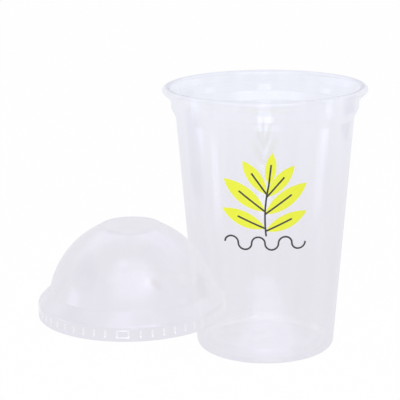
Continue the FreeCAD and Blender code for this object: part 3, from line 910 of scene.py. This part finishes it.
def add_band(shape, left, right, low, high, cup, across):
    """Adds a closed film of ink between two edges, given as flat points from one end to the other."""
    layers = []
    for lift in (low, high):
        rows = []
        for a, b in zip(left, right):
            spots = [a.lerp(b, number / across) for number in range(across + 1)]
            rows.append([shape.verts.new(on_wall(spot.x, spot.y, lift, cup)) for spot in spots])
        layers.append(rows)
    back, front = layers
    last = len(left) - 1
    for row in range(last):
        for column in range(across):
            for rows in layers:
                near, far = rows[row], rows[row + 1]
                shape.faces.new((near[column], near[column + 1], far[column + 1], far[column]))
        for column in (0, across):
            corners = (back[row][column], back[row + 1][column], front[row + 1][column], front[row][column])
            shape.faces.new(corners)
    for row in (0, last):
        for column in range(across):
            corners = (back[row][column], back[row][column + 1], front[row][column + 1], front[row][column])
            shape.faces.new(corners)


def ink_piece(name, shape, material):
    """Turns the films of one ink into a piece."""
    mesh = bpy.data.meshes.new(name)
    bmesh.ops.remove_doubles(shape, verts=shape.verts, dist=CLOSE)
    shape.to_mesh(mesh)
    shape.free()
    face_outwards(mesh)
    mesh.shade_smooth()
    mesh.set_sharp_from_angle(angle=SHARP)
    mesh.materials.append(material)
    return linked(name, mesh)


def stem_spot(ink, degrees):
    """A point on the printed stem, which bends to the right as it climbs."""
    turn = math.radians(degrees)
    return Vector((ink.stem_radius * (1.0 - math.cos(turn)), ink.height + ink.stem_radius * math.sin(turn)))


def heading(degrees):
    """The flat direction that leans to the right of upright by so many degrees."""
    return Vector((math.sin(math.radians(degrees)), math.cos(math.radians(degrees))))


def line_edges(spots, half):
    """The two edges of a line of even width along flat points."""
    left, right = [], []
    for number, spot in enumerate(spots):
        along = spots[min(number + 1, len(spots) - 1)] - spots[max(number - 1, 0)]
        aside = Vector((-along.y, along.x)).normalized() * half
        left.append(spot + aside)
        right.append(spot - aside)
    return left, right


class CLEARCUP_OT_leaves(bpy.types.Operator):
    """Print the sprig's leaves on the cup's front"""

    bl_idname = "clear_cup.leaves"
    bl_label = "Printed leaves"

    def execute(self, context):
        scene = context.scene
        cup, ink, finish = scene.clear_cup, scene.clear_print, scene.clear_finish
        shape = bmesh.new()
        for degrees, spread, size in LEAVES:
            root = stem_spot(ink, degrees)
            along = heading(degrees + spread)
            aside = Vector((along.y, -along.x))
            reach = ink.leaf_length * size
            half = ink.leaf_width * size / 2
            radius = (reach**2 / 4 + half**2) / (half * 2)
            left, right = [], []
            for row in range(LEAF_ROWS + 1):
                far = reach * (1.0 - math.cos(math.pi * row / LEAF_ROWS)) / 2
                width = math.sqrt(radius**2 - (far - reach / 2) ** 2) - (radius - half)
                middle = root + along * far
                left.append(middle - aside * max(width, 0.0))
                right.append(middle + aside * max(width, 0.0))
            add_band(shape, left, right, ink.back, ink.back + ink.thickness, cup, LEAF_COLUMNS)
        piece = ink_piece("leaf_ink", shape, ink_material("green_ink", finish.green, GREEN_ROUGHNESS))
        stand(piece, "print_leaves")
        return {"FINISHED"}


class CLEARCUP_OT_lines(bpy.types.Operator):
    """Print the stem, the leaves' ribs and the wave under them"""

    bl_idname = "clear_cup.lines"
    bl_label = "Printed lines"

    def execute(self, context):
        scene = context.scene
        cup, ink, finish = scene.clear_cup, scene.clear_print, scene.clear_finish
        shape = bmesh.new()
        half = ink.line_width / 2
        low, high = ink.back * LINE_UNDER, ink.back + ink.thickness * LINE_OVER
        rib_high = high - ink.thickness * RIB_LOWER
        steps = range(LINE_ROWS + 1)
        stem = [stem_spot(ink, STEM_START + (STEM_END - STEM_START) * n / LINE_ROWS) for n in steps]
        add_band(shape, *line_edges(stem, half), low, high, cup, LINE_COLUMNS)
        for degrees, spread, size in LEAVES:
            root = stem_spot(ink, degrees)
            along = heading(degrees + spread)
            start = root - along * (half / 2)
            tip = root + along * (ink.rib_length * size)
            rib = [start.lerp(tip, n / LINE_ROWS) for n in steps]
            add_band(shape, *line_edges(rib, half), low, rib_high, cup, LINE_COLUMNS)
        wave = []
        for number in range(WAVE_HALVES):
            middle = Vector((ink.wave_radius * (2 * number + 1 - WAVE_HALVES), ink.height - ink.wave_drop))
            side = 1 if number % 2 == 0 else -1
            # Each half ring starts where the one before it ends, so only the first has its first point.
            for n in steps if number == 0 else steps[1:]:
                turn = math.pi * n / LINE_ROWS
                wave.append(middle + Vector((-math.cos(turn), side * math.sin(turn))) * ink.wave_radius)
        add_band(shape, *line_edges(wave, half), low, high, cup, LINE_COLUMNS)
        piece = ink_piece("line_ink", shape, ink_material("dark_ink", finish.dark, DARK_ROUGHNESS))
        stand(piece, "print_lines")
        return {"FINISHED"}


def seen_tone(tree, tone):
    """How much of a surface is shown and not lit, and the colour that it shows.

    The eye sees plain white past the pieces and mirrored in them, and the given pale tone through them,
    which on the table holds a painted shadow near the pieces.
    """
    path = add_node(tree, "ShaderNodeLightPath").outputs
    shown = math_node(tree, "MAXIMUM", path["Is Camera Ray"], path["Is Glossy Ray"])
    shown = math_node(tree, "MAXIMUM", shown, path["Is Transmission Ray"])
    passed = math_node(tree, "GREATER_THAN", path["Transparent Depth"], 0.5)
    through = times(tree, passed, path["Is Camera Ray"])
    return shown, mixed(tree, through, WHITE, tone)


def lamp(name, place, target, width, height, radiance):
    """A soft rectangular lamp that faces target and isn't itself mirrored."""
    light = bpy.data.lights.new(name, "AREA")
    light.shape = "RECTANGLE"
    light.size = width
    light.size_y = height
    light.energy = radiance * math.pi * width * height
    holder = linked(name, light)
    holder.location = place
    holder.rotation_mode = "QUATERNION"
    holder.rotation_quaternion = (place - target).to_track_quat("Z", "Y")
    holder.visible_camera = False
    holder.visible_glossy = False
    holder.visible_transmission = False


def towards(centre, azimuth, elevation, distance):
    """A point seen from centre, where azimuth 0 is the camera's side and + is to the right."""
    turn, climb = math.radians(azimuth), math.radians(elevation)
    level = math.cos(climb) * distance
    return centre + Vector((math.sin(turn) * level, -math.cos(turn) * level, math.sin(climb) * distance))


def card(name, place, target, width, height, tone, level, edge):
    """A glowing or grey card with soft edges, seen only in the gloss and only from the target's side."""
    facing = (target - place).normalized()
    aside = facing.cross(UP).normalized() * (width / 2)
    rise = aside.cross(facing).normalized() * (height / 2)
    mesh = bpy.data.meshes.new(name)
    corners = [place + aside - rise, place - aside - rise, place - aside + rise, place + aside + rise]
    mesh.from_pydata(corners, [], [(0, 1, 2, 3)])
    spread = mesh.uv_layers.new(name="spread")
    for number, spot in enumerate(((0.0, 0.0), (1.0, 0.0), (1.0, 1.0), (0.0, 1.0))):
        spread.data[number].uv = spot
    material, tree, output = new_material(name)
    place_on = add_node(tree, "ShaderNodeUVMap", uv_map="spread").outputs["UV"]
    parts = parts_of(tree, place_on)
    fades = []
    for part in (parts["X"], parts["Y"]):
        off = math_node(tree, "ABSOLUTE", minus(tree, part, 0.5))
        fades.append(ramp_node(tree, off, 0.5, 0.5 - edge / 2, 0.0, 1.0, "SMOOTHSTEP"))
    strength = times(tree, times(tree, *fades), facing_front(tree))
    nothing = add_node(tree, "ShaderNodeBsdfTransparent")
    glow = add_node(tree, "ShaderNodeEmission", {"Color": with_alpha(tone), "Strength": level})
    end_in_mix(tree, output, strength, nothing, glow)
    mesh.materials.append(material)
    holder = linked(name, mesh)
    holder.visible_camera = False
    holder.visible_transmission = False
    holder.visible_diffuse = False
    holder.visible_shadow = False


def make_table(studio):
    """The white table, which shows the pale tones where it is seen through the pieces, with a painted
    shadow near them.
    """
    side, drop = TABLE_HALF, TABLE_DROP
    mesh = bpy.data.meshes.new("table")
    corners = [(-side, -side, drop), (side, -side, drop), (side, side, drop), (-side, side, drop)]
    mesh.from_pydata(corners, [], [(0, 1, 2, 3)])
    table = linked("table", mesh)
    material, tree, output = new_material("table_white")
    spot = add_node(tree, "ShaderNodeTexCoord").outputs["Object"]
    # Painted shadow: near the pieces the table shows the darker near tone, fading to the far tone further
    # back.
    far = ramp_node(tree, parts_of(tree, spot)["Y"], studio.near_edge, studio.far_edge, 0.0, 1.0)
    tone = mixed(tree, far, with_alpha(studio.near_painted_shadow), with_alpha(studio.far_tone))
    shown, tone_shown = seen_tone(tree, tone)
    factor = times(tree, shown, 1.0 - studio.floor_share)
    lit = add_node(tree, "ShaderNodeBsdfDiffuse", {"Color": TABLE_WHITE})
    glow = add_node(tree, "ShaderNodeEmission", {"Color": tone_shown})
    end_in_mix(tree, output, factor, lit, glow)
    mesh.materials.append(material)


def make_room(studio):
    """The world: plain soft light on the pieces, and the far tone where it is seen through them."""
    world = bpy.data.worlds.new("room")
    bpy.context.scene.world = world
    world.use_nodes = True
    tree = world.node_tree
    tree.nodes.clear()
    output = tree.nodes.new("ShaderNodeOutputWorld")
    shown, tone_shown = seen_tone(tree, with_alpha(studio.far_tone))
    light = add_node(tree, "ShaderNodeBackground", {"Color": WHITE, "Strength": studio.fill})
    wall = add_node(tree, "ShaderNodeBackground", {"Color": tone_shown, "Strength": 1.0})
    end_in_mix(tree, output, shown, light, wall)


def make_camera(studio, foot):
    """The camera, which stands in front of the cup's foot and looks as the photograph does."""
    pitch, yaw, roll = studio.pitch, studio.yaw, studio.roll
    level = math.cos(pitch)
    ahead = Vector((math.sin(yaw) * level, math.cos(yaw) * level, -math.sin(pitch)))
    right = Vector((math.cos(yaw), -math.sin(yaw), 0.0))
    up = right.cross(ahead)
    leant_right = right * math.cos(roll) + up * math.sin(roll)
    leant_up = up * math.cos(roll) - right * math.sin(roll)
    camera = bpy.data.cameras.new("camera")
    camera.lens = studio.lens
    camera.sensor_width = SENSOR_WIDTH
    camera.clip_start = CLIP_START
    camera.clip_end = CLIP_END
    holder = linked("camera", camera)
    turn = Matrix((leant_right, leant_up, -ahead)).transposed().to_4x4()
    spot = foot + Vector((0.0, -studio.camera_distance, studio.camera_height))
    holder.matrix_world = Matrix.Translation(spot) @ turn
    bpy.context.scene.camera = holder


class CLEARCUP_OT_studio(bpy.types.Operator):
    """Make the table, the room, the lamps, the cards and the camera"""

    bl_idname = "clear_cup.studio"
    bl_label = "Studio"

    def execute(self, context):
        scene = context.scene
        studio = scene.clear_studio
        cup_foot = axis_of(CUP_LOW, CUP_HIGH)
        lid_foot = axis_of(LID_LOW, LID_HIGH)
        cup_heart = cup_foot + UP * (scene.clear_cup.height / 2)
        lid_heart = lid_foot + UP * (scene.clear_lid.height / 2)
        make_table(studio)
        make_room(studio)

        lamps = (
            # name, target, azimuth, elevation, width, height, share of the lamps' level
            ("front_lamp", cup_heart, -20.0, 35.0, 0.5, 0.4, 1.0),
            ("left_lamp", lid_heart, -70.0, 40.0, 0.4, 0.4, 0.6),
            ("right_lamp", cup_heart, 60.0, 45.0, 0.4, 0.4, 0.6),
        )
        for name, target, azimuth, elevation, width, height, level in lamps:
            place = towards(target, azimuth, elevation, LAMP_DISTANCE)
            lamp(name, place, target, width, height, studio.lamps * level)

        # Points near the pieces from which the cards are placed, or at which they look.
        low = cup_foot + UP * 0.04
        front = cup_foot + UP * 0.05
        strip = cup_foot + Vector((0.004, -0.066, 0.002))
        over_strip = strip + Vector((0.0, 0.01, 1.0))
        shoulder = lid_foot + Vector((0.0, -0.041, 0.01))
        left_shade, right_shade = studio.left_shade, studio.right_shade
        cards = (
            # name, measured from, azimuth, elevation, distance, target, width, height, level, soft edge
            ("front_card", front, 0.5, 0.0, 0.5, low, 0.2, 0.14, 2.1, 0.35),
            ("left_card", low, -89.0, 0.0, 0.3, low, 0.12, 0.09, 1.9, 0.7),
            ("right_card", low, 80.0, 0.0, 0.3, low, 0.1, 0.09, 2.0, 0.7),
            ("strip_card", strip, 0.0, 0.0, 0.0, over_strip, 0.08, 0.08, 1.6, 0.5),
            ("wide_card", lid_heart, 8.0, 42.0, 0.8, lid_heart, 1.3, 1.2, 2.0, 0.8),
            ("key_card", lid_heart, 31.0, 38.0, 0.7, lid_heart, 0.34, 0.36, 2.6, 0.9),
            ("high_card", lid_heart, 180.0, 56.0, 0.8, lid_heart, 2.6, 0.9, 1.7, 0.8),
            ("shoulder_card", shoulder, -20.0, 69.0, 0.25, shoulder, 0.14, 0.12, 1.9, 0.9),
            ("left_shade", lid_heart, -80.0, 33.0, 0.4, lid_heart, 0.5, 0.3, left_shade, 0.9),
            ("right_shade", low, 122.0, 0.0, 0.4, low, 0.3, 0.16, right_shade, 0.6),
        )
        for name, centre, azimuth, elevation, distance, target, width, height, level, edge in cards:
            place = towards(centre, azimuth, elevation, distance)
            card(name, place, target, width, height, studio.card_tone, level, edge)

        make_camera(studio, cup_foot)
        scene.view_settings.view_transform = "Standard"
        scene.cycles.transparent_max_bounces = CLEAR_FACES
        return {"FINISHED"}


class CLEARCUP_PT_panel(bpy.types.Panel):
    """Buttons that make the cup, the lid, the print and the studio."""

    bl_idname = "CLEARCUP_PT_panel"
    bl_label = "Clear Cup"
    bl_space_type = "VIEW_3D"
    bl_region_type = "UI"
    bl_category = "Clear Cup"

    def draw(self, context):
        for step in STEPS:
            self.layout.operator(step.bl_idname)


STEPS = (CLEARCUP_OT_cup, CLEARCUP_OT_lid, CLEARCUP_OT_leaves, CLEARCUP_OT_lines, CLEARCUP_OT_studio)
GROUPS = (
    ("clear_cup", CupSizes),
    ("clear_lid", LidSizes),
    ("clear_print", PrintSizes),
    ("clear_finish", Finishes),
    ("clear_studio", StudioSizes),
)


def register():
    """Registers the property groups, the operators and the panel."""
    for name, group in GROUPS:
        bpy.utils.register_class(group)
        setattr(bpy.types.Scene, name, PointerProperty(type=group))
    for step in STEPS + (CLEARCUP_PT_panel,):
        bpy.utils.register_class(step)


def unregister():
    """Takes back what register did."""
    for step in reversed(STEPS + (CLEARCUP_PT_panel,)):
        bpy.utils.unregister_class(step)
    for name, group in reversed(GROUPS):
        delattr(bpy.types.Scene, name)
        bpy.utils.unregister_class(group)


def main():
    """Registers the add-on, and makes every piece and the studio."""
    register()
    bpy.ops.clear_cup.cup()
    bpy.ops.clear_cup.lid()
    bpy.ops.clear_cup.leaves()
    bpy.ops.clear_cup.lines()
    bpy.ops.clear_cup.studio()


if __name__ == "__main__":
    main()
